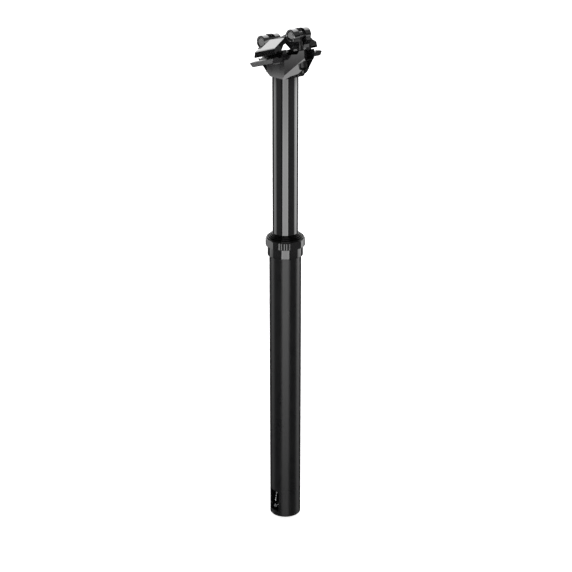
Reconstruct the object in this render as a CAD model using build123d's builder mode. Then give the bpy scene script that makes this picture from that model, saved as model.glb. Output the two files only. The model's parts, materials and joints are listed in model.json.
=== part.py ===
from build123d import *
import math
import os

os.makedirs("parts", exist_ok=True)

# ---------------------------------------------------------------------------
# Telescopic suspension seatpost.  Millimetres, +Z up along the post.
# Origin: centre of the lower end of the outer tube.
# +Y points to the rear of the bicycle, +X to the rider's left.
# ---------------------------------------------------------------------------

# outer tube
tube_r = 15.8            # 31.6 mm seat tube size
tube_bore_r = 14.1
neck_z = 285.0           # start of the threaded neck
neck_r = 15.3
tube_top = 298.0
keyway_z0 = 46.0
keyway_r = 14.85
key_w = 2.9
key_clear = 0.05
window_z0 = 5.4
window_z1 = 29.0
window_w = 11.8

# collar
base_r = 17.5
base_top = 294.9
nut_r = 19.4
nut_top = 302.5
lip_top = 307.5

# stanchion
post_r = 12.5
post_bore_r = 11.0
post_z0 = 212.0
post_neck_r = 12.2
head_z = 461.3           # underside of the head
socket_z = 469.3         # end of the stanchion inside the head
run = 0.05               # radial running clearance
travel = 150.0

# gas spring cartridge
cyl_r = 9.6
cyl_bore_r = 8.2
cyl_z0 = 216.0
cyl_z1 = 450.0
rod_r = 4.0
rod_bore_r = 1.65
rod_z0 = 33.0
pin_r = 1.5

# saddle clamp frame: s along the rails (rearwards and up), t square to it
tilt = 15.14
ref_z = 487.44
seat_r = 18.6            # cradle seat radius
seat_s = -1.0            # pitch centre in the clamp frame
seat_t = 5.0
rail_r = 3.5
rail_x = 22.0
rail_t = -5.2
nut_s = 21.1             # barrel nut centres
nut_t = 9.1
nut_half = 10.7
barrel_r = 4.25
hub_r = 6.2
ear_gap = 7.8            # between the two ears of a hook

# clamp bolts
bolt_r = 2.9
nut_hole_r = 3.15
bolt_head_r = 4.9
washer_r = 4.8
pocket_r = 5.4
pocket_half = 6.0
side_entry = [(25.8, 472.0), (26.6, 477.0), (33.5, 481.6), (40.0, 481.6),
              (40.0, 471.0), (27.0, 471.3)]
rear_foot = (22.2, 479.6)      # swing axis of each bolt, Y and Z
front_foot = (-20.4, 469.4)

ct, st = math.cos(math.radians(tilt)), math.sin(math.radians(tilt))


def yz(s, t):
    """Clamp frame to the row's Y and Z."""
    return (s * ct - t * st, ref_z + s * st + t * ct)


seat_y, seat_z = yz(seat_s, seat_t)
clamp_side = Plane(origin=(0, 0, ref_z), x_dir=(0, ct, st), z_dir=(1, 0, 0))
clamp_end = Plane(origin=(0, 0, ref_z), x_dir=(1, 0, 0), z_dir=(0, -ct, -st))


def bolt_plane(foot, nut):
    """Plane at a bolt's under-head point, normal towards its barrel nut."""
    d = (nut[0] - foot[0], nut[1] - foot[1])
    n = math.hypot(*d)
    return Plane(origin=(0, foot[0], foot[1]), x_dir=(1, 0, 0),
                 z_dir=(0, d[0] / n, d[1] / n)), n


rear_plane, rear_len = bolt_plane(rear_foot, yz(nut_s, nut_t))
front_plane, front_len = bolt_plane(front_foot, yz(-nut_s, nut_t))


def polar(r, deg):
    return (r * math.cos(math.radians(deg)), r * math.sin(math.radians(deg)))


# ------------------------------------------------------------- outer tube
with BuildPart() as outer_tube:
    with BuildSketch(Plane.XY):
        Circle(tube_r)
    extrude(amount=neck_z)
    with BuildSketch(Plane.XY.offset(neck_z)):
        Circle(neck_r)
    extrude(amount=tube_top - neck_z)
    chamfer(outer_tube.edges().group_by(Axis.Z)[0], length=0.5)
    with BuildSketch(Plane.XY):
        Circle(tube_bore_r)
    extrude(amount=tube_top, mode=Mode.SUBTRACT)
    with BuildSketch(Plane.XY.offset(keyway_z0)):
        with PolarLocations(keyway_r - 1.5, 3, start_angle=30):
            Rectangle(3.0, key_w + 2 * key_clear)
    extrude(amount=262.0 - keyway_z0, mode=Mode.SUBTRACT)
    with BuildSketch(Plane.YZ):
        with Locations((0, (window_z0 + window_z1) / 2)):
            RectangleRounded(window_w, window_z1 - window_z0, 1.0)
    extrude(amount=20, mode=Mode.SUBTRACT)
outer_tube.part.label = "outer_tube"
export_step(outer_tube.part, "parts/outer_tube.step")

# ------------------------------------------------------------- collar base
with BuildPart() as collar_base:
    with BuildSketch(Plane.XY.offset(neck_z)):
        Circle(base_r)
        Circle(neck_r, mode=Mode.SUBTRACT)
    extrude(amount=base_top - neck_z)
    chamfer(collar_base.edges().filter_by(GeomType.CIRCLE).filter_by(
        lambda e: e.radius > 16), length=0.4)
collar_base.part.label = "collar_base"
export_step(collar_base.part, "parts/collar_base.step")

# ------------------------------------------------------------- collar nut
# four wrench flats, four short facets and four ribbed arcs
outline = []
rib_count = 5
rib_shape = ((0.0, 18.78), (0.14, 19.12), (0.28, 19.33), (0.42, 19.4), (0.58, 19.4), (0.72, 19.33),
             (0.86, 19.12))
rib_pitch = 41.0 / rib_count
for k in range(4):
    a0 = 65.0 + 90.0 * k
    outline += [polar(nut_r, a0), polar(nut_r, a0 + 35.0), polar(nut_r, a0 + 49.0)]
    for i in range(rib_count):
        a = a0 + 49.0 + i * rib_pitch
        outline += [polar(r, a + f * rib_pitch) for f, r in rib_shape]
with BuildPart() as collar_nut:
    with BuildSketch(Plane.XY.offset(base_top)):
        with BuildLine():
            Polyline(*outline, close=True)
        make_face()
        Circle(neck_r, mode=Mode.SUBTRACT)
    extrude(amount=nut_top - base_top)
    with BuildSketch(Plane.XZ):
        with BuildLine():
            Polyline((0, base_top), (nut_r - 0.5, base_top), (nut_r + 0.1, base_top + 0.6),
                     (nut_r + 0.1, nut_top - 0.9), (nut_r - 0.8, nut_top), (0, nut_top),
                     close=True)
        make_face()
    revolve(axis=Axis.Z, mode=Mode.INTERSECT)
collar_nut.part.label = "collar_nut"
export_step(collar_nut.part, "parts/collar_nut.step")

# ------------------------------------------------------------- dust wiper
with BuildPart() as dust_wiper:
    with BuildSketch(Plane.XZ):
        with BuildLine():
            Polyline((13.3, tube_top), (neck_r, tube_top), (neck_r, nut_top),
                     (18.3, nut_top), (18.3, 303.7), (17.9, 304.1), (17.2, 304.1),
                     (16.9, 303.5), (16.6, 303.5), (16.5, 305.0), (16.2, 305.3),
                     (15.8, 305.3), (15.5, 304.6), (15.2, 304.6), (15.1, 306.2),
                     (14.8, 306.5), (14.4, 306.5), (14.2, 305.9), (13.95, 305.9),
                     (13.85, 307.2), (13.6, lip_top),
                     (post_r + run, lip_top), (post_r + run, 306.6), (13.2, 305.6),
                     (13.2, 301.2), (post_r + run, 300.4), (post_r + run, 299.6),
                     (13.3, 298.9), close=True)
        make_face()
    revolve(axis=Axis.Z)
dust_wiper.part.label = "dust_wiper"
export_step(dust_wiper.part, "parts/dust_wiper.step")

# ------------------------------------------------------------- foam ring
with BuildPart() as foam_ring:
    with BuildSketch(Plane.XY.offset(291.4)):
        Circle(tube_bore_r)
        Circle(post_r + run, mode=Mode.SUBTRACT)
    extrude(amount=6.2)
foam_ring.part.label = "foam_ring"
export_step(foam_ring.part, "parts/foam_ring.step")

# ------------------------------------------------------------- upper circlip
with BuildPart() as upper_circlip:
    with BuildSketch(Plane.XY.offset(290.0)):
        Circle(tube_bore_r)
        Circle(12.95, mode=Mode.SUBTRACT)
        with Locations((0, -13.5)):
            Rectangle(3.0, 4.0, mode=Mode.SUBTRACT)
    extrude(amount=1.2)
upper_circlip.part.label = "upper_circlip"
export_step(upper_circlip.part, "parts/upper_circlip.step")

# ------------------------------------------------------------- upper bushing
with BuildPart() as upper_bushing:
    with BuildSketch(Plane.XY.offset(262.0)):
        Circle(tube_bore_r)
        Circle(post_r + run, mode=Mode.SUBTRACT)
        with Locations((0, -13.5)):
            Rectangle(0.8, 4.0, mode=Mode.SUBTRACT)
    extrude(amount=28.0)
upper_bushing.part.label = "upper_bushing"
export_step(upper_bushing.part, "parts/upper_bushing.step")

# ------------------------------------------------------------- top-out bumper
with BuildPart() as top_out_bumper:
    with BuildSketch(Plane.XY.offset(258.0)):
        Circle(tube_bore_r)
        Circle(post_r + 0.08, mode=Mode.SUBTRACT)
    extrude(amount=4.0)
top_out_bumper.part.label = "top_out_bumper"
export_step(top_out_bumper.part, "parts/top_out_bumper.step")

# ------------------------------------------------------------- stanchion
with BuildPart() as stanchion:
    with BuildSketch(Plane.XY.offset(post_z0)):
        Circle(post_neck_r)
    extrude(amount=29.0)
    with BuildSketch(Plane.XY.offset(post_z0 + 29.0)):
        Circle(post_r)
    extrude(amount=socket_z - post_z0 - 29.0)
    with BuildSketch(Plane.XY.offset(post_z0)):
        Circle(post_bore_r)
    extrude(amount=socket_z - post_z0, mode=Mode.SUBTRACT)
    with BuildSketch(Plane.XY.offset(243.9)):
        with PolarLocations(post_r, 3, start_angle=30):
            Rectangle(1.6, key_w)
    extrude(amount=14.0, mode=Mode.SUBTRACT)
stanchion.part.label = "stanchion"
export_step(stanchion.part, "parts/stanchion.step")

# ------------------------------------------------------------- lower bushing
with BuildPart() as lower_bushing:
    with BuildSketch(Plane.XY.offset(214.0)):
        Circle(tube_bore_r - run)
        Circle(post_neck_r, mode=Mode.SUBTRACT)
        with Locations((0, -13.2)):
            Rectangle(0.8, 4.0, mode=Mode.SUBTRACT)
    extrude(amount=26.0)
lower_bushing.part.label = "lower_bushing"
export_step(lower_bushing.part, "parts/lower_bushing.step")

# ------------------------------------------------------------- guide keys
with BuildPart() as guide_keys:
    with BuildSketch(Plane.XY.offset(243.9)):
        with PolarLocations((post_r - 0.8 + keyway_r - 0.05) / 2, 3, start_angle=30):
            Rectangle(keyway_r - 0.05 - post_r + 0.8, key_w)
    extrude(amount=14.0)
guide_keys.part.label = "guide_keys"
export_step(guide_keys.part, "parts/guide_keys.step")

# ------------------------------------------------------------- cartridge
with BuildPart() as cartridge_cylinder:
    with BuildSketch(Plane.XY.offset(cyl_z0)):
        Circle(cyl_r)
        Circle(cyl_bore_r, mode=Mode.SUBTRACT)
    extrude(amount=cyl_z1 - cyl_z0)
cartridge_cylinder.part.label = "cartridge_cylinder"
export_step(cartridge_cylinder.part, "parts/cartridge_cylinder.step")

with BuildPart() as cartridge_seal_head:
    with BuildSketch(Plane.XY.offset(cyl_z0 + 2.0)):
        Circle(cyl_bore_r)
        Circle(rod_r + run, mode=Mode.SUBTRACT)
    extrude(amount=12.0)
cartridge_seal_head.part.label = "cartridge_seal_head"
export_step(cartridge_seal_head.part, "parts/cartridge_seal_head.step")

with BuildPart() as cartridge_rod:
    with BuildSketch(Plane.XY.offset(rod_z0)):
        Circle(rod_r)
        Circle(rod_bore_r, mode=Mode.SUBTRACT)
    extrude(amount=246.0 - rod_z0)
cartridge_rod.part.label = "cartridge_rod"
export_step(cartridge_rod.part, "parts/cartridge_rod.step")

with BuildPart() as cartridge_piston:
    with BuildSketch(Plane.XY.offset(233.0)):
        Circle(cyl_bore_r - run)
        Circle(rod_r, mode=Mode.SUBTRACT)
    extrude(amount=12.0)
    chamfer(cartridge_piston.edges().filter_by(GeomType.CIRCLE).filter_by(
        lambda e: e.radius > 8), length=0.5)
cartridge_piston.part.label = "cartridge_piston"
export_step(cartridge_piston.part, "parts/cartridge_piston.step")

with BuildPart() as valve_pin:
    with BuildSketch(Plane.XY.offset(10.4)):
        Circle(pin_r)
    extrude(amount=240.0 - 10.4)
    chamfer(valve_pin.edges().group_by(Axis.Z)[-1], length=0.4)
    fillet(valve_pin.edges().group_by(Axis.Z)[0], radius=0.9)
valve_pin.part.label = "valve_pin"
export_step(valve_pin.part, "parts/valve_pin.step")

# cartridge top plug, screwed into the stanchion, with an air valve in it
with BuildPart() as cartridge_plug:
    with BuildSketch(Plane.XY.offset(cyl_z1)):
        Circle(post_bore_r)
    extrude(amount=10.0)
    with BuildSketch(Plane.XY.offset(cyl_z1 - 8.0)):
        Circle(cyl_bore_r)
    extrude(amount=8.0)
    with BuildSketch(Plane.XY.offset(cyl_z1 + 5.0)):
        RegularPolygon(radius=7.0, side_count=6)
    extrude(amount=5.0, mode=Mode.SUBTRACT)
    with BuildSketch(Plane.XY.offset(cyl_z1 - 8.0)):
        Circle(2.6)
    extrude(amount=13.0, mode=Mode.SUBTRACT)
cartridge_plug.part.label = "cartridge_plug"
export_step(cartridge_plug.part, "parts/cartridge_plug.step")

with BuildPart() as air_valve:
    with BuildSketch(Plane.XY.offset(cyl_z1 - 8.0)):
        Circle(2.6)
    extrude(amount=13.0)
    with BuildSketch(Plane.XY.offset(cyl_z1 + 5.0)):
        Circle(3.6)
    extrude(amount=9.0)
    with BuildSketch(Plane.XY.offset(cyl_z1 + 7.0)):
        Circle(2.3)
    extrude(amount=7.0, mode=Mode.SUBTRACT)
air_valve.part.label = "air_valve"
export_step(air_valve.part, "parts/air_valve.step")

with BuildPart() as valve_cap:
    with BuildSketch(Plane.XY.offset(cyl_z1 + 8.0)):
        Circle(5.0)
        Circle(3.6, mode=Mode.SUBTRACT)
    extrude(amount=6.0)
    with BuildSketch(Plane.XY.offset(cyl_z1 + 14.0)):
        Circle(5.0)
    extrude(amount=1.6)
    chamfer(valve_cap.edges().group_by(Axis.Z)[-1], length=0.5)
valve_cap.part.label = "valve_cap"
export_step(valve_cap.part, "parts/valve_cap.step")

# ------------------------------------------------------------- actuator
pivot_y, pivot_z = -3.5, 7.4
with BuildPart() as actuator_housing:
    with BuildSketch(Plane.XY.offset(0.5)):
        Circle(tube_bore_r)
    extrude(amount=39.5)
    chamfer(actuator_housing.edges().group_by(Axis.Z)[-1], length=0.6)
    # lever pocket, open towards the window
    with BuildSketch(Plane.YZ.offset(-4.0)):
        with Locations((-1.9, 15.6)):
            Rectangle(18.2, 24.0)
    extrude(amount=20.0, mode=Mode.SUBTRACT)
    # rod socket and pin passage
    with BuildSketch(Plane.XY.offset(rod_z0)):
        Circle(rod_r)
    extrude(amount=8.0, mode=Mode.SUBTRACT)
    with BuildSketch(Plane.XY.offset(27.0)):
        Circle(pin_r + 0.06)
    extrude(amount=8.0, mode=Mode.SUBTRACT)
    # cable housing port
    with BuildSketch(Plane.XY):
        with Locations((1.0, -8.2)):
            Circle(2.55)
    extrude(amount=5.0, mode=Mode.SUBTRACT)
    # pivot screw hole
    with BuildSketch(Plane.YZ.offset(-9.0)):
        with Locations((pivot_y, pivot_z)):
            Circle(1.5)
    extrude(amount=6.0, mode=Mode.SUBTRACT)
actuator_housing.part.label = "actuator_housing"
export_step(actuator_housing.part, "parts/actuator_housing.step")

with BuildPart() as actuator_lever:
    with BuildSketch(Plane.YZ.offset(-2.2)):
        with BuildLine():
            Polyline((-10.2, 5.6), (-10.2, 9.6), (-6.2, 10.2), (2.4, 10.15), (3.2, 8.4),
                     (0.2, 6.4), (-1.2, 4.4), (-5.8, 4.4), (-7.4, 5.6), close=True)
        make_face()
    extrude(amount=6.2)
    with BuildSketch(Plane.YZ.offset(-2.2)):
        with Locations((pivot_y, pivot_z)):
            Circle(1.55)
    extrude(amount=6.2, mode=Mode.SUBTRACT)
    with BuildSketch(Plane.YZ.offset(-2.2)):
        with Locations((-8.2, 7.6)):
            Circle(1.25)
    extrude(amount=6.2, mode=Mode.SUBTRACT)
actuator_lever.part.label = "actuator_lever"
export_step(actuator_lever.part, "parts/actuator_lever.step")

with BuildPart() as cable_barrel:
    with BuildSketch(Plane.YZ.offset(-2.8)):
        with Locations((-8.2, 7.6)):
            Circle(1.25)
    extrude(amount=8.4)
cable_barrel.part.label = "cable_barrel"
export_step(cable_barrel.part, "parts/cable_barrel.step")

with BuildPart() as pivot_screw:
    with BuildSketch(Plane.YZ.offset(-8.0)):
        with Locations((pivot_y, pivot_z)):
            Circle(1.5)
    extrude(amount=17.6)
    with BuildSketch(Plane.YZ.offset(9.6)):
        with Locations((pivot_y, pivot_z)):
            Circle(2.6)
            RegularPolygon(radius=1.75, side_count=6, mode=Mode.SUBTRACT)
    extrude(amount=1.8)
    with BuildSketch(Plane.YZ.offset(9.6)):
        with Locations((pivot_y, pivot_z)):
            Circle(2.6)
    extrude(amount=0.6)
pivot_screw.part.label = "pivot_screw"
export_step(pivot_screw.part, "parts/pivot_screw.step")

# torsion return spring round the pivot screw, one leg up the housing
with BuildPart() as return_spring:
    with BuildSketch(Plane.YZ.offset(4.6)):
        with Locations((pivot_y, pivot_z)):
            Circle(3.3)
            Circle(2.2, mode=Mode.SUBTRACT)
    extrude(amount=4.4)
    with BuildSketch(Plane.YZ.offset(7.9)):
        with BuildLine():
            Polyline((pivot_y + 2.2, pivot_z), (pivot_y + 3.3, pivot_z), (1.5, 24.6),
                     (0.5, 24.6), close=True)
        make_face()
    extrude(amount=1.1)
return_spring.part.label = "return_spring"
export_step(return_spring.part, "parts/return_spring.step")

# ------------------------------------------------------------- head
head_profile = [(-11.0, head_z), (12.5, head_z), (17.0, 464.4), (23.6, 467.4),
                (28.2, 471.8), (33.0, 480.6), (32.4, 490.3), (27.6, 489.2),
                (25.8, 486.0), (15.5, 484.4), (-9.0, 474.8), (-19.0, 474.6),
                (-28.9, 474.6), (-30.2, 472.8), (-24.4, 466.9), (-17.0, 463.0)]


def slant(a, b, c):
    """Plane through three points, normal turned downwards."""
    ab = Vector(*b) - Vector(*a)
    ac = Vector(*c) - Vector(*a)
    n = ab.cross(ac).normalized()
    return Plane(origin=a, z_dir=n if n.Z < 0 else n * -1.0)


with BuildPart() as seatpost_head:
    with BuildSketch(Plane.YZ):
        with BuildLine():
            Polyline(*head_profile, close=True)
        make_face()
    extrude(amount=13.0, both=True)
    # plan outline: flat cheeks, tapering to the rear and front arms
    with BuildSketch(Plane.XY.offset(450.0)):
        with BuildLine():
            Polyline((13.0, -11.5), (13.0, 13.0), (6.2, 33.0), (-6.2, 33.0), (-13.0, 13.0),
                     (-13.0, -11.5), (-7.6, -31.0), (7.6, -31.0), close=True)
        make_face()
    extrude(amount=60.0, mode=Mode.INTERSECT)
    # bevels under the rear and front arms
    for sx in (1, -1):
        with BuildSketch(slant((sx * 13.0, 13.2, 465.4), (sx * 6.2, 33.0, 483.3),
                               (sx * 5.4, 23.4, 467.0))):
            Rectangle(120, 120)
        extrude(amount=30, mode=Mode.SUBTRACT)
        with BuildSketch(slant((sx * 13.0, -9.0, 463.0), (sx * 10.9, -18.0, 467.9),
                               (sx * 6.0, -20.0, 464.6))):
            Rectangle(120, 120)
        extrude(amount=30, mode=Mode.SUBTRACT)
    # cradle seat
    with BuildSketch(Plane.YZ):
        with Locations((seat_y, seat_z)):
            Circle(seat_r)
    extrude(amount=20.0, both=True, mode=Mode.SUBTRACT)
    # bolt slots: the rear one is open upwards and rearwards
    with BuildSketch(rear_plane):
        with Locations((0, 10)):
            Rectangle(7.2, 26.5)
    extrude(amount=30, mode=Mode.SUBTRACT)
    with BuildSketch(front_plane):
        with Locations((0, 0.6)):
            Rectangle(7.2, 8.4)
    extrude(amount=30, mode=Mode.SUBTRACT)
    # round seats for the swinging washers, and the bolt head pockets below
    with BuildSketch(Plane.YZ):
        with Locations(rear_foot, front_foot):
            Circle(washer_r + 0.05)
    extrude(amount=5.85, both=True, mode=Mode.SUBTRACT)
    with BuildSketch(front_plane):
        Circle(pocket_r)
    extrude(amount=-20, mode=Mode.SUBTRACT)
    # the rear pocket is open rearwards, with a key hole below it
    with BuildSketch(rear_plane.offset(-0.6)):
        with Locations((0, 10)):
            Rectangle(2 * pocket_half, 31.2)
    extrude(amount=-7.8, mode=Mode.SUBTRACT)
    with BuildSketch(rear_plane):
        Circle(3.4)
    extrude(amount=-30, mode=Mode.SUBTRACT)
    # side entry for the rear bolt head, on one side only
    with BuildSketch(Plane.YZ):
        with BuildLine():
            Polyline(*side_entry, close=True)
        make_face()
    extrude(amount=20, mode=Mode.SUBTRACT)
    # stanchion socket and access bore
    with BuildSketch(Plane.XY.offset(head_z - 5)):
        Circle(post_r)
    extrude(amount=socket_z - head_z + 5, mode=Mode.SUBTRACT)
    with BuildSketch(Plane.XY.offset(head_z)):
        Circle(8.0)
    extrude(amount=30, mode=Mode.SUBTRACT)
seatpost_head.part.label = "seatpost_head"
export_step(seatpost_head.part, "parts/seatpost_head.step")
print("head solids", len(seatpost_head.part.solids()))

# ------------------------------------------------------------- rail cradle
with BuildPart() as rail_cradle:
    # half-cylinder body that sits in the head
    with BuildSketch(clamp_side):
        with Locations((seat_s, seat_t)):
            Circle(seat_r - 0.05)
        with Locations((0, 20 - 4.6)):
            Rectangle(60, 40, mode=Mode.SUBTRACT)
    extrude(amount=13.0, both=True)
    # cross beam and rail troughs
    with BuildSketch(clamp_end):
        with BuildLine():
            Polyline((13.0, -4.6), (13.0, -2.0), (16.0, -2.0), (18.6, -6.2), (28.9, -7.9), (30.3, -8.2),
                     (30.3, -12.0), (29.6, -12.5), (19.4, -12.5), (17.6, -11.2), (16.6, -9.6),
                     (13.0, -9.0), close=True)
        make_face()
        with Locations((rail_x, rail_t)):
            Circle(rail_r, mode=Mode.SUBTRACT)
        mirror(about=Plane.YZ)
    extrude(amount=15.4, both=True)
    # the troughs reach further forward than the beam
    with BuildSketch(clamp_end.offset(15.4)):
        with BuildLine():
            Polyline((18.0, -5.6), (18.6, -6.2), (28.9, -7.9), (30.3, -8.2),
                     (30.3, -12.0), (29.6, -12.5), (19.4, -12.5), (18.0, -11.4), close=True)
        make_face()
        with Locations((rail_x, rail_t)):
            Circle(rail_r, mode=Mode.SUBTRACT)
        mirror(about=Plane.YZ)
    extrude(amount=2.8)
    # cut corners at both ends of each trough, seen from the side
    with BuildSketch(clamp_side):
        with BuildLine():
            Polyline((-18.4, -8.6), (-14.6, -13.4), (-19, -13.4), close=True)
        make_face()
        with BuildLine():
            Polyline((15.7, -8.6), (11.8, -13.4), (17, -13.4), close=True)
        make_face()
        with BuildLine():
            Polyline((-18.4, -7.4), (-13.6, -4.2), (-19, -4.2), close=True)
        make_face()
    extrude(amount=40, both=True, mode=Mode.SUBTRACT)
    # bolt passages
    with BuildSketch(rear_plane):
        with Locations((0, 8)):
            Rectangle(8.0, 23.0)
    extrude(amount=30, mode=Mode.SUBTRACT)
    with BuildSketch(front_plane):
        with Locations((0, -8)):
            Rectangle(8.0, 23.0)
    extrude(amount=30, mode=Mode.SUBTRACT)
rail_cradle.part.label = "rail_cradle"
export_step(rail_cradle.part, "parts/rail_cradle.step")
print("cradle solids", len(rail_cradle.part.solids()))

# ------------------------------------------------------------- upper clamp
with BuildPart() as upper_rail_clamp:
    # centre bridge with a hook at each end
    with BuildSketch(clamp_side):
        with Locations((nut_s, nut_t), (-nut_s, nut_t)):
            Circle(hub_r)
        with BuildLine():
            Polyline((-nut_s, 13.2), (-15.6, 9.0), (-9.0, 9.2), (8.0, 10.4), (14.8, 11.6),
                     (nut_s, 14.4), (nut_s + 5.9, 3.1), (12.5, 3.3), (8.0, 5.2), (-8.0, 5.2),
                     (-12.5, 3.3), (-nut_s - 5.4, 3.3), close=True)
        make_face()
        with BuildLine():
            Polyline((-40, 3.1), (40, 3.1), (40, -10), (-40, -10), close=True)
        make_face(mode=Mode.SUBTRACT)
    extrude(amount=nut_half, both=True)
    # tooth under each ear of the rear hook
    with BuildSketch(clamp_side):
        with BuildLine():
            Polyline((13.4, 3.3), (nut_s + 5.8, 3.3), (21.8, -0.4), (20.4, -3.2), (19.4, -3.2),
                     close=True)
        make_face()
    extrude(amount=nut_half, both=True)
    # roof wings down to the rails
    with BuildSketch(clamp_end):
        with BuildLine():
            Polyline((0, 9.6), (10.5, 9.6), (25.2, 1.3), (26.0, 0.5), (26.3, -4.3),
                     (25.8, -4.5), (19.0, -3.5), (17.3, -0.9), (13.9, 3.2), (9.0, 5.2),
                     (0, 5.2), close=True)
        make_face()
        with Locations((rail_x, rail_t)):
            Circle(rail_r, mode=Mode.SUBTRACT)
        mirror(about=Plane.YZ)
    extrude(amount=15.0, both=True)
    # lowered front of each wing, clear of the front hook
    for sx in (1, -1):
        with BuildSketch(clamp_side.offset(sx * nut_half)):
            with BuildLine():
                Polyline((-20.0, 2.6), (-14.9, 2.6), (-8.6, 3.0), (-6.2, 12.0), (-20.0, 12.0),
                         close=True)
            make_face()
        extrude(amount=sx * 20.0, mode=Mode.SUBTRACT)
    with BuildSketch(clamp_side):
        with BuildLine():
            Polyline((-15.3, -3.6), (-15.0, -3.6), (-13.0, 2.0), (-13.0, 2.7), (-15.3, 2.7),
                     close=True)
        make_face()
    extrude(amount=40.0, both=True, mode=Mode.SUBTRACT)
    # nut bores
    with BuildSketch(clamp_side):
        with Locations((nut_s, nut_t), (-nut_s, nut_t)):
            Circle(barrel_r + 0.05)
    extrude(amount=20.0, both=True, mode=Mode.SUBTRACT)
    # chamfered rims on the hook ends and their bores
    for s0 in (nut_s, -nut_s):
        y0, z0 = yz(s0, nut_t)
        for sx in (1, -1):
            with BuildSketch(Plane(origin=(0, y0, z0), x_dir=(1, 0, 0), z_dir=(0, 1, 0))):
                with BuildLine():
                    Polyline((sx * (nut_half - 0.9), hub_r + 0.3), (sx * (nut_half + 0.3), hub_r + 0.3),
                             (sx * (nut_half + 0.3), hub_r - 0.9), close=True)
                make_face()
                with BuildLine():
                    Polyline((sx * (nut_half - 0.7), barrel_r - 0.2), (sx * (nut_half + 0.2), barrel_r - 0.2),
                             (sx * (nut_half + 0.2), barrel_r + 0.7), close=True)
                make_face()
            revolve(axis=Axis((0, y0, z0), (1, 0, 0)), mode=Mode.SUBTRACT)
    # bolt slots through the hooks, open outwards
    with BuildSketch(rear_plane):
        with Locations((0, 8.5)):
            Rectangle(ear_gap, 24.5)
    extrude(amount=60, mode=Mode.SUBTRACT)
    with BuildSketch(front_plane):
        with Locations((0, -7.5)):
            Rectangle(ear_gap, 25.0)
    extrude(amount=60, mode=Mode.SUBTRACT)
upper_rail_clamp.part.label = "upper_rail_clamp"
export_step(upper_rail_clamp.part, "parts/upper_rail_clamp.step")
print("upper clamp solids", len(upper_rail_clamp.part.solids()))

# ------------------------------------------------------------- barrel nuts and bolts
with BuildPart() as rear_barrel_nut:
    with BuildSketch(clamp_side):
        with Locations((nut_s, nut_t)):
            Circle(barrel_r)
    extrude(amount=nut_half - 0.8, both=True)
    chamfer(rear_barrel_nut.edges().filter_by(GeomType.CIRCLE), length=0.55)
    with BuildSketch(rear_plane):
        Circle(nut_hole_r)
    extrude(amount=60, mode=Mode.SUBTRACT)
rear_barrel_nut.part.label = "rear_barrel_nut"
export_step(rear_barrel_nut.part, "parts/rear_barrel_nut.step")

with BuildPart() as front_barrel_nut:
    with BuildSketch(clamp_side):
        with Locations((-nut_s, nut_t)):
            Circle(barrel_r)
    extrude(amount=nut_half - 0.8, both=True)
    chamfer(front_barrel_nut.edges().filter_by(GeomType.CIRCLE), length=0.55)
    with BuildSketch(front_plane):
        Circle(nut_hole_r)
    extrude(amount=60, mode=Mode.SUBTRACT)
front_barrel_nut.part.label = "front_barrel_nut"
export_step(front_barrel_nut.part, "parts/front_barrel_nut.step")

with BuildPart() as rear_bolt:
    with BuildSketch(rear_plane.offset(-1.4)):
        Circle(bolt_r)
    extrude(amount=rear_len + 1.4 + 6.4)
    chamfer(rear_bolt.edges().group_by(Axis.Z)[-1], length=0.5)
    with BuildSketch(rear_plane.offset(-1.4)):
        Circle(bolt_head_r)
    extrude(amount=-6.0)
    chamfer(rear_bolt.edges().group_by(Axis.Z)[0], length=0.5)
    with BuildSketch(rear_plane.offset(-7.4)):
        RegularPolygon(radius=2.9, side_count=6)
    extrude(amount=3.4, mode=Mode.SUBTRACT)
rear_bolt.part.label = "rear_bolt"
export_step(rear_bolt.part, "parts/rear_bolt.step")

with BuildPart() as front_bolt:
    with BuildSketch(front_plane.offset(-1.4)):
        Circle(bolt_r)
    extrude(amount=front_len + 1.4 + 6.6)
    chamfer(front_bolt.edges().group_by(Axis.Z)[-1], length=0.5)
    with BuildSketch(front_plane.offset(-1.4)):
        Circle(bolt_head_r)
    extrude(amount=-6.0)
    chamfer(front_bolt.edges().group_by(Axis.Z)[0], length=0.5)
    with BuildSketch(front_plane.offset(-7.4)):
        RegularPolygon(radius=2.9, side_count=6)
    extrude(amount=3.4, mode=Mode.SUBTRACT)
front_bolt.part.label = "front_bolt"
export_step(front_bolt.part, "parts/front_bolt.step")

# half-round washers that let each bolt swing in its seat
with BuildPart() as rear_bolt_washer:
    with BuildSketch(Plane.YZ):
        with Locations(rear_foot):
            Circle(washer_r)
    extrude(amount=5.7, both=True)
    with BuildSketch(rear_plane.offset(-1.4)):
        Rectangle(30, 30)
    extrude(amount=-20, mode=Mode.SUBTRACT)
    with BuildSketch(rear_plane.offset(-10)):
        Circle(bolt_r + 0.05)
    extrude(amount=30, mode=Mode.SUBTRACT)
rear_bolt_washer.part.label = "rear_bolt_washer"
export_step(rear_bolt_washer.part, "parts/rear_bolt_washer.step")

with BuildPart() as front_bolt_washer:
    with BuildSketch(Plane.YZ):
        with Locations(front_foot):
            Circle(washer_r)
    extrude(amount=5.7, both=True)
    with BuildSketch(front_plane.offset(-1.4)):
        Rectangle(30, 30)
    extrude(amount=-20, mode=Mode.SUBTRACT)
    with BuildSketch(front_plane.offset(-10)):
        Circle(bolt_r + 0.05)
    extrude(amount=30, mode=Mode.SUBTRACT)
front_bolt_washer.part.label = "front_bolt_washer"
export_step(front_bolt_washer.part, "parts/front_bolt_washer.step")
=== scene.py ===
import bpy
import bmesh
import json
import math
from mathutils import Matrix, Vector


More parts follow.
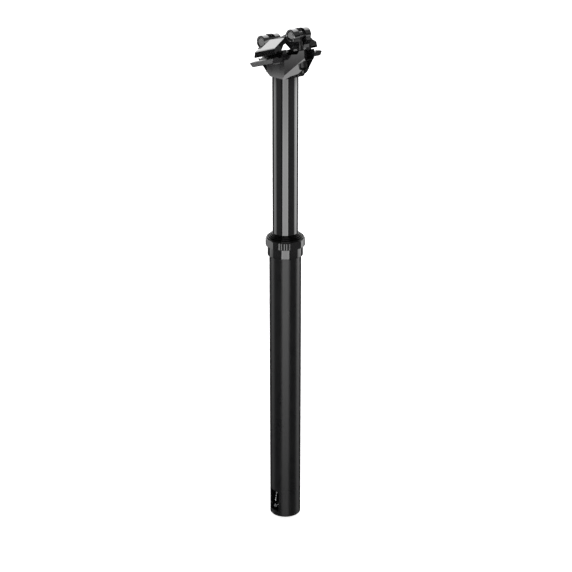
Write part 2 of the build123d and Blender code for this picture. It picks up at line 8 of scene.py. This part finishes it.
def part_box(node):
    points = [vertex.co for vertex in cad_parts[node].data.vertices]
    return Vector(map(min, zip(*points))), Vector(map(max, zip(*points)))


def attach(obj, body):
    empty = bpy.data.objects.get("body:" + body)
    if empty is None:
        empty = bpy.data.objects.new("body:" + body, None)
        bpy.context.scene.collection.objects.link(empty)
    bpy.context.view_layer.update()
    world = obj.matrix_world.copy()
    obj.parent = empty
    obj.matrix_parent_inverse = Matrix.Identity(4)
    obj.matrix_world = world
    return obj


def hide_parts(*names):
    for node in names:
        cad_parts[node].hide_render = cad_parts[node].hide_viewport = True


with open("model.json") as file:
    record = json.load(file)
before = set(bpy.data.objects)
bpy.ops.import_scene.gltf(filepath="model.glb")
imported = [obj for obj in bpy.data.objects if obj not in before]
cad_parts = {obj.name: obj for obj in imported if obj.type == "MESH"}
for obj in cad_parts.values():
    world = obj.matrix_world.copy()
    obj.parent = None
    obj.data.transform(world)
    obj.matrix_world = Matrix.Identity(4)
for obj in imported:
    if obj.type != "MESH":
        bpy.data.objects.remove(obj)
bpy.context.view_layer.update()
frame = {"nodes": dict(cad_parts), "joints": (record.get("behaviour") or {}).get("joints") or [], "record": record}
nodes = frame["nodes"]
scene = bpy.context.scene
MM = 0.001


# ---------------------------------------------------------------- materials
def new_mat(name):
    m = bpy.data.materials.new(name)
    m.use_nodes = True
    nt = m.node_tree
    p = next(n for n in nt.nodes if n.type == "BSDF_PRINCIPLED")
    return m, nt, p


def noise(nt, vec, scale, detail=3.0, rough=0.55, distortion=0.0):
    n = nt.nodes.new("ShaderNodeTexNoise")
    n.inputs["Scale"].default_value = scale
    n.inputs["Detail"].default_value = detail
    n.inputs["Roughness"].default_value = rough
    n.inputs["Distortion"].default_value = distortion
    nt.links.new(vec, n.inputs["Vector"])
    return n.outputs["Fac"]


def coords(nt, scale=(1, 1, 1)):
    tc = nt.nodes.new("ShaderNodeTexCoord")
    mp = nt.nodes.new("ShaderNodeMapping")
    mp.inputs["Scale"].default_value = scale
    nt.links.new(tc.outputs["Object"], mp.inputs["Vector"])
    return mp.outputs["Vector"]


def remap(nt, fac, lo, hi, a=0.3, b=0.7):
    r = nt.nodes.new("ShaderNodeMapRange")
    r.inputs["From Min"].default_value = a
    r.inputs["From Max"].default_value = b
    r.inputs["To Min"].default_value = lo
    r.inputs["To Max"].default_value = hi
    nt.links.new(fac, r.inputs["Value"])
    return r.outputs["Result"]


def ramp(nt, fac, c0, c1, a=0.3, b=0.7):
    r = nt.nodes.new("ShaderNodeValToRGB")
    r.color_ramp.elements[0].position = a
    r.color_ramp.elements[1].position = b
    r.color_ramp.elements[0].color = (*c0, 1)
    r.color_ramp.elements[1].color = (*c1, 1)
    nt.links.new(fac, r.inputs["Fac"])
    return r.outputs["Color"]


def bump(nt, height, distance, strength=1.0, prev=None):
    b = nt.nodes.new("ShaderNodeBump")
    b.inputs["Distance"].default_value = distance
    b.inputs["Strength"].default_value = strength
    nt.links.new(height, b.inputs["Height"])
    if prev is not None:
        nt.links.new(prev, b.inputs["Normal"])
    return b.outputs["Normal"]


def metal(name, c0, c1, rough, rvar=0.04, grain=2600.0, grain_h=0.0, broad=70.0,
          lines=None, lines_h=0.0, metallic=0.0, ior=1.5, coat=0.0, coat_rough=0.05,
          level=0.5):
    """A coated or bare metal: two-tone colour, uneven roughness, fine grain and machining lines."""
    m, nt, p = new_mat(name)
    v = coords(nt)
    broad_n = noise(nt, v, broad, 4.0, 0.6)
    nt.links.new(ramp(nt, broad_n, c0, c1), p.inputs["Base Color"])
    fine = noise(nt, v, grain, 2.0, 0.5)
    add = nt.nodes.new("ShaderNodeMath")
    add.operation = "ADD"
    nt.links.new(remap(nt, broad_n, rough - rvar, rough + rvar), add.inputs[0])
    nt.links.new(remap(nt, fine, -rvar * 0.5, rvar * 0.5), add.inputs[1])
    nt.links.new(add.outputs[0], p.inputs["Roughness"])
    nrm = None
    if lines is not None:
        ln = noise(nt, coords(nt, lines), 1.0, 2.0, 0.5)
        nrm = bump(nt, ln, lines_h)
    if grain_h > 0:
        nrm = bump(nt, fine, grain_h, prev=nrm)
    if nrm is not None:
        nt.links.new(nrm, p.inputs["Normal"])
    p.inputs["Metallic"].default_value = metallic
    p.inputs["IOR"].default_value = ior
    p.inputs["Specular IOR Level"].default_value = level
    if coat > 0:
        p.inputs["Coat Weight"].default_value = coat
        p.inputs["Coat Roughness"].default_value = coat_rough
    return m


def soft(name, c0, c1, rough, grain, grain_h, broad=90.0, cells=None, cells_h=0.0, ior=1.45):
    """Rubber, plastic or foam: matt, with a moulded grain."""
    m, nt, p = new_mat(name)
    v = coords(nt)
    broad_n = noise(nt, v, broad, 4.0, 0.6)
    fine = noise(nt, v, grain, 3.0, 0.6)
    nt.links.new(ramp(nt, fine, c0, c1), p.inputs["Base Color"])
    nt.links.new(remap(nt, broad_n, rough - 0.06, rough + 0.06), p.inputs["Roughness"])
    nrm = bump(nt, fine, grain_h)
    if cells is not None:
        vo = nt.nodes.new("ShaderNodeTexVoronoi")
        vo.inputs["Scale"].default_value = cells
        nt.links.new(v, vo.inputs["Vector"])
        nrm = bump(nt, vo.outputs["Distance"], cells_h, prev=nrm)
    nt.links.new(nrm, p.inputs["Normal"])
    p.inputs["IOR"].default_value = ior
    return m


M = {}
M["tube_black"] = metal("tube_black_anodised", (0.0055, 0.0055, 0.006), (0.0085, 0.0085, 0.009),
                        0.285, 0.015, 3200, 0.0000012, 45, ior=1.33)
M["stanchion_black"] = metal("stanchion_black_polished", (0.0045, 0.0045, 0.005),
                             (0.007, 0.007, 0.0075), 0.05, 0.01, 2400, 0.0, 60,
                             lines=(60, 60, 5200), lines_h=0.0000001, ior=1.48)
M["collar_black"] = metal("collar_black_polished", (0.005, 0.005, 0.0055),
                          (0.008, 0.008, 0.0085), 0.1, 0.02, 3000, 0.0000003, 60,
                          lines=(40, 40, 6000), lines_h=0.0000004, ior=1.46)
M["clamp_black"] = metal("clamp_black_anodised", (0.006, 0.006, 0.0065), (0.010, 0.010, 0.0105),
                         0.09, 0.02, 3600, 0.0000005, 80, ior=1.7)
M["head_black"] = metal("head_black_painted", (0.006, 0.006, 0.0065), (0.0095, 0.0095, 0.010),
                        0.055, 0.01, 3400, 0.0000002, 75, ior=1.62)
M["steel_black"] = metal("steel_black_oxide", (0.006, 0.006, 0.0065), (0.011, 0.0105, 0.0105),
                         0.3, 0.05, 4200, 0.000001, 120, lines=(5000, 60, 60), lines_h=0.0000005,
                         ior=1.5)
M["steel_plain"] = metal("steel_ground", (0.42, 0.425, 0.43), (0.56, 0.565, 0.57), 0.26, 0.05,
                         3800, 0.0000006, 120, lines=(60, 60, 5200), lines_h=0.0000008,
                         metallic=1.0)
M["alloy_raw"] = metal("alloy_machined", (0.56, 0.565, 0.57), (0.68, 0.685, 0.69), 0.3, 0.05,
                       3000, 0.0000005, 90, lines=(50, 50, 4200), lines_h=0.000001, metallic=1.0)
M["nut_black"] = metal("nut_black_anodised", (0.007, 0.007, 0.0075), (0.012, 0.012, 0.0125), 0.11,
                       0.02, 3800, 0.0000004, 140, lines=(4800, 60, 60), lines_h=0.0000006, ior=1.7)
M["brass"] = metal("brass_machined", (0.5, 0.36, 0.15), (0.64, 0.47, 0.21), 0.28, 0.05, 3000,
                   0.0000006, 110, lines=(60, 60, 4200), lines_h=0.000001, metallic=1.0)
M["bushing"] = soft("bushing_liner", (0.12, 0.095, 0.06), (0.19, 0.15, 0.1), 0.55, 3200, 0.000006)
M["housing_black"] = soft("housing_black_nylon", (0.006, 0.006, 0.0065), (0.012, 0.012, 0.0125),
                          0.5, 2600, 0.00001)
M["seal_rubber"] = soft("seal_black_rubber", (0.003, 0.003, 0.003), (0.0055, 0.0055, 0.0055),
                        0.22, 2200, 0.0000006, ior=1.12)
M["elastomer"] = soft("bumper_urethane", (0.018, 0.018, 0.018), (0.03, 0.03, 0.03), 0.6, 1800,
                      0.00001)
M["foam"] = soft("foam_open_cell", (0.045, 0.045, 0.05), (0.09, 0.09, 0.095), 0.92, 1500, 0.00008,
                 cells=2400, cells_h=0.00012)

slot_of = {s["node"]: s["material_slot"] for s in frame["record"]["subparts"]}
for name, o in nodes.items():
    if len(o.material_slots) == 0:
        o.data.materials.append(M[slot_of[name]])
    for ms in o.material_slots:
        ms.material = M[slot_of[name]]


# ---------------------------------------------------------------- machined edges
def edges(name, width, segments=2, angle=28.0):
    """Rounds the sharp edges of a CAD node the way a tumbled or chamfered edge catches light."""
    o = nodes[name]
    w = o.modifiers.new("weld", "WELD")
    w.merge_threshold = 0.000002
    b = o.modifiers.new("edge", "BEVEL")
    b.width = width * MM
    b.segments = segments
    b.limit_method = "ANGLE"
    b.angle_limit = math.radians(angle)
    b.miter_outer = "MITER_ARC"
    b.use_clamp_overlap = True
    b.harden_normals = False
    n = o.modifiers.new("shade", "WEIGHTED_NORMAL")
    n.weight = 100
    n.mode = "FACE_AREA"
    n.keep_sharp = False


faceted = ("seatpost_head", "rail_cradle", "upper_rail_clamp")
for name, width in (("seatpost_head", 0.35), ("rail_cradle", 0.3), ("upper_rail_clamp", 0.35),
                    ("outer_tube", 0.25), ("collar_base", 0.15),
                    ("rear_barrel_nut", 0.12), ("front_barrel_nut", 0.12),
                    ("rear_bolt", 0.2), ("front_bolt", 0.2), ("rear_bolt_washer", 0.15),
                    ("front_bolt_washer", 0.15), ("actuator_housing", 0.2),
                    ("actuator_lever", 0.2), ("pivot_screw", 0.15), ("stanchion", 0.15)):
    edges(name, width, angle=15.0 if name in faceted else 28.0)


# ---------------------------------------------------------------- actuator return spring
def tube_curve(name, pts, radius, mat, order=4, cyclic=False, res=10):
    c = bpy.data.curves.new(name, "CURVE")
    c.dimensions = "3D"
    c.bevel_depth = radius
    c.bevel_resolution = 6
    c.use_fill_caps = True
    c.resolution_u = res
    s = c.splines.new("NURBS")
    s.points.add(len(pts) - 1)
    for p, q in zip(s.points, pts):
        p.co = (*q, 1.0)
    s.order_u = order
    s.use_endpoint_u = True
    s.use_cyclic_u = cyclic
    o = bpy.data.objects.new(name, c)
    scene.collection.objects.link(o)
    c.materials.append(mat)
    return o


lo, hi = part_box("pivot_screw")
piv_y, piv_z = (lo.y + hi.y) / 2, (lo.z + hi.z) / 2
slo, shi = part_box("return_spring")
wire = 0.5 * MM
turns, per = 4.0, 16
pts = []
pts.append((slo.x + wire, piv_y - 2.6 * MM, piv_z - 2.8 * MM))
count = int(turns * per) + per // 4
for i in range(count + 1):
    a = -math.pi / 2 + 2 * math.pi * i / per
    x = slo.x + wire + (shi.x - slo.x - 2 * wire) * i / count
    pts.append((x, piv_y + 2.8 * MM * math.cos(a), piv_z + 2.8 * MM * math.sin(a)))
pts.append((shi.x - wire, piv_y + 2.9 * MM, piv_z + 3.4 * MM))
pts.append((shi.x + 2.6 * MM, piv_y + 0.6 * MM, piv_z + 4.4 * MM))
pts.append((shi.x + 3.4 * MM, piv_y + 2.2 * MM, piv_z + 10.0 * MM))
pts.append((shi.x + 3.4 * MM, 0.9 * MM, 26.2 * MM))
spring = tube_curve("return_spring_coil", pts, wire, M["steel_plain"], res=6)
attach(spring, "outer")
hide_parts("return_spring")


# ---------------------------------------------------------------- bolt threads
def thread(name, base, tip, length, r_root, r_crest, pitch, mat, body):
    """A helical ridge on a bolt's shank, ending at tip."""
    axis = (tip - base).normalized()
    x = Vector((1, 0, 0))
    y = axis.cross(x)
    bm = bmesh.new()
    per_turn, n = 40, int(length / pitch * 40)
    rings = []
    for i in range(n + 1):
        a = 2 * math.pi * i / per_turn
        h = pitch * i / per_turn
        k = min(1.0, i / 20.0, (n - i) / 20.0)
        crest = r_root + (r_crest - r_root) * k
        out = x * math.cos(a) + y * math.sin(a)
        c = tip - axis * (length + 0.3 * MM) + axis * h
        ring = [bm.verts.new(c + out * (r_root - 0.1 * MM) - axis * pitch * 0.40),
                bm.verts.new(c + out * r_root - axis * pitch * 0.36),
                bm.verts.new(c + out * crest - axis * pitch * 0.07),
                bm.verts.new(c + out * crest + axis * pitch * 0.07),
                bm.verts.new(c + out * r_root + axis * pitch * 0.36),
                bm.verts.new(c + out * (r_root - 0.1 * MM) + axis * pitch * 0.40)]
        rings.append(ring)
    for i in range(n):
        a, b = rings[i], rings[i + 1]
        for k in range(6):
            j = (k + 1) % 6
            bm.faces.new((a[k], a[j], b[j], b[k]))
    bm.faces.new(rings[0][::-1])
    bm.faces.new(rings[-1])
    bmesh.ops.recalc_face_normals(bm, faces=bm.faces)
    me = bpy.data.meshes.new(name)
    bm.to_mesh(me)
    bm.free()
    for f in me.polygons:
        f.use_smooth = False
    o = bpy.data.objects.new(name, me)
    scene.collection.objects.link(o)
    me.materials.append(mat)
    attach(o, body)
    return o


joints = {j["name"]: j for j in frame["joints"]}


def joint_pos(name):
    return Vector(joints[name]["pos_m"])


for side in ("rear", "front"):
    foot = joint_pos(side + "_bolt_swing")
    nut = joint_pos(side + "_nut_turn")
    axis = (nut - foot).normalized()
    co = [v.co for v in nodes[side + "_bolt"].data.vertices]
    far = max((c - foot).dot(axis) for c in co)
    thread(side + "_bolt_thread", foot, foot + axis * far, 16.5 * MM, 2.88 * MM, 2.99 * MM,
           1.0 * MM, M["steel_black"], side + "_screw")


# ---------------------------------------------------------------- floor
bpy.ops.mesh.primitive_plane_add(size=24.0, location=(0, 0, -0.0006))
floor = bpy.context.object
floor.name = "floor"
m, nt, p = new_mat("floor_white")
v = coords(nt)
nt.links.new(ramp(nt, noise(nt, v, 3.0), (0.93, 0.93, 0.93), (0.96, 0.96, 0.96)),
             p.inputs["Base Color"])
p.inputs["Roughness"].default_value = 0.9
p.inputs["Specular IOR Level"].default_value = 0.0
p.inputs["Emission Color"].default_value = (1, 1, 1, 1)
p.inputs["Emission Strength"].default_value = 0.9
floor.data.materials.append(m)
floor.visible_glossy = False

# ---------------------------------------------------------------- studio light
# A soft tent: a wide box in front, one at each side, a white backdrop, dark gaps between them.
cam_pos = Vector((0.8355, 0.9279, 0.7219))
front = Vector((cam_pos.x, cam_pos.y, 0)).normalized()
right = Vector((0, 0, 1)).cross(front)

world = bpy.data.worlds.new("studio")
scene.world = world
world.use_nodes = True
wt = world.node_tree
wt.nodes.clear()
gen = wt.nodes.new("ShaderNodeTexCoord").outputs["Generated"]


def wmath(op, a, b=None, clamp=False):
    n = wt.nodes.new("ShaderNodeMath")
    n.operation = op
    n.use_clamp = clamp
    for i, val in enumerate((a, b)):
        if val is None:
            continue
        if isinstance(val, (int, float)):
            n.inputs[i].default_value = val
        else:
            wt.links.new(val, n.inputs[i])
    return n.outputs[0]


def wdot(vec):
    n = wt.nodes.new("ShaderNodeVectorMath")
    n.operation = "DOT_PRODUCT"
    wt.links.new(gen, n.inputs[0])
    n.inputs[1].default_value = vec
    return n.outputs["Value"]


def wramp(fac, stops, top):
    r = wt.nodes.new("ShaderNodeValToRGB")
    cr = r.color_ramp
    while len(cr.elements) > 1:
        cr.elements.remove(cr.elements[-1])
    for i, (pos, val) in enumerate(stops):
        e = cr.elements[0] if i == 0 else cr.elements.new(pos)
        e.position = pos
        g = val / top
        e.color = (g, g, g, 1)
    wt.links.new(fac, r.inputs["Fac"])
    return wmath("MULTIPLY", r.outputs["Color"], top)


u = wdot(front)
w = wdot(right)
up = wdot(Vector((0, 0, 1)))
phi = wmath("ARCTAN2", w, u)
fac = wmath("ADD", wmath("MULTIPLY", phi, 0.5 / math.pi), 0.5)
elev = wmath("MULTIPLY", wmath("ARCSINE", up), 180 / math.pi)


def deg(stops):
    return [((a + 180.0) / 360.0, b) for a, b in stops]


front_box = wramp(fac, deg([(-180, 0), (-25.5, 0), (-22.5, 8.6), (-18, 8.6), (-14, 7.3), (15, 7.3),
                            (19, 8.6), (23.5, 8.6), (26.5, 0), (180, 0)]), 9.0)
side_boxes = wramp(fac, deg([(-180, 0.0), (-147, 0.0), (-143, 0.04), (-121, 0.04), (-117, 2.6),
                             (-90, 2.6), (-83, 0.36), (-38, 0.36), (-29, 0.04), (-24, 0.0),
                             (24, 0.0), (29, 0.04), (36, 0.36), (84, 0.36), (91, 4.9), (119, 4.9),
                             (124, 0.04), (143, 0.04), (147, 0.0), (180, 0.0)]), 9.0)
back_drop = wramp(fac, deg([(-180, 0.75), (-152, 0.75), (-147, 0.0), (147, 0.0), (152, 0.75),
                            (180, 0.75)]), 1.0)
efac = wmath("ADD", wmath("MULTIPLY", elev, 1 / 180.0), 0.5)


def el(stops):
    return [((a + 90.0) / 180.0, b) for a, b in stops]


front_fade = wramp(efac, el([(-90, 0.0), (-30.5, 0.0), (-27.2, 0.0), (-24.6, 0.5), (-22.5, 0.78),
                             (-20.8, 0.9), (-18, 0.93), (-15, 1.0), (-12.5, 0.75), (-8, 0.7), (-2, 0.25), (90, 0.25)]), 1.0)
sfac = wmath("MULTIPLY", wmath("ADD", elev, 40.0), 1 / 40.0, clamp=True)


def sel(stops):
    return [((a + 40.0) / 40.0, b) for a, b in stops]


side_fade = wramp(sfac, sel([(-40, 0.03), (-36, 0.04), (-31, 0.1), (-29, 0.17), (-24.6, 0.27),
                             (-20.8, 0.38), (-18, 0.85), (-15, 1.05), (-13, 1.2), (-12.25, 1.15),
                             (-12.0, 0.95), (-11.75, 0.42), (-11.55, 0.12), (-11.3, 0.0), (-10.85, 0.0),
                             (-10.5, 1.2), (-9.4, 1.25), (-8.8, 0.0), (0, 0.0)]), 1.25)
back_fade = wramp(efac, el([(-90, 0.03), (-24.5, 0.03), (-20.0, 1.0), (90, 1.0)]), 1.0)
bands = wmath("ADD", wmath("MULTIPLY", front_box, front_fade),
              wmath("MULTIPLY", side_boxes, side_fade))
bands = wmath("ADD", bands, wmath("MULTIPLY", back_drop, back_fade))
top_mix = wramp(efac, el([(-90, 0.0), (6, 0.0), (14, 1.0), (90, 1.0)]), 1.0)
low_mix = wmath("MULTIPLY",
                wramp(efac, el([(-90, 0.0), (-66, 0.0), (-61, 1.0), (-54, 1.0), (-49, 0.0),
                                (90, 0.0)]), 1.0),
                wramp(fac, deg([(-180, 0.0), (-60, 0.0), (-50, 1.0), (2, 1.0), (12, 0.0),
                                (180, 0.0)]), 1.0))
top_box = wramp(fac, deg([(-180, 3.3), (-168, 3.3), (-160, 2.8), (-126, 2.8), (-112, 0.35), (112, 0.35), (126, 3.3),
                          (180, 3.3)]), 4.0)


def mixf(a, b, f):
    return wmath("ADD", wmath("MULTIPLY", a, wmath("SUBTRACT", 1.0, f)), wmath("MULTIPLY", b, f))


high_box = wramp(fac, deg([(-180, 0), (-78, 0), (-72, 1), (-46, 1), (-40, 0), (180, 0)]), 1.0)
high_fade = wramp(sfac, sel([(-40, 0), (-12.2, 0), (-11.8, 0.2), (-11.5, 0.42), (-11.15, 1.0),
                             (-10.7, 1.6), (-8, 1.6), (-6, 0), (0, 0)]), 1.6)
bands = wmath("ADD", bands, wmath("MULTIPLY", high_box, high_fade))
env = mixf(mixf(bands, top_box, top_mix), 4.0, low_mix)
lp = wt.nodes.new("ShaderNodeLightPath")
env = mixf(env, wmath("MULTIPLY", env, 0.25), lp.outputs["Is Diffuse Ray"])
env = mixf(env, 1.02, lp.outputs["Is Camera Ray"])
bg = wt.nodes.new("ShaderNodeBackground")
bg.inputs["Color"].default_value = (1, 1, 1, 1)
wt.links.new(env, bg.inputs["Strength"])
out = wt.nodes.new("ShaderNodeOutputWorld")
wt.links.new(bg.outputs[0], out.inputs["Surface"])

# ---------------------------------------------------------------- camera
cam = bpy.data.cameras.new("camera")
cam.lens = 85.0
cam.sensor_width = 36.0
cam.shift_x = 0.0012
cam.clip_start = 0.01
cam.clip_end = 100.0
cam.dof.use_dof = False
camera = bpy.data.objects.new("camera", cam)
scene.collection.objects.link(camera)
camera.location = cam_pos
pitch = math.radians(-20.64)
look = -front * math.cos(pitch) + Vector((0, 0, 1)) * math.sin(pitch)
camera.rotation_mode = "QUATERNION"
camera.rotation_quaternion = look.to_track_quat("-Z", "Y")
scene.camera = camera

scene.view_settings.view_transform = "Standard"
scene.view_settings.look = "None"
scene.view_settings.exposure = 0.0
scene.view_settings.gamma = 1.0
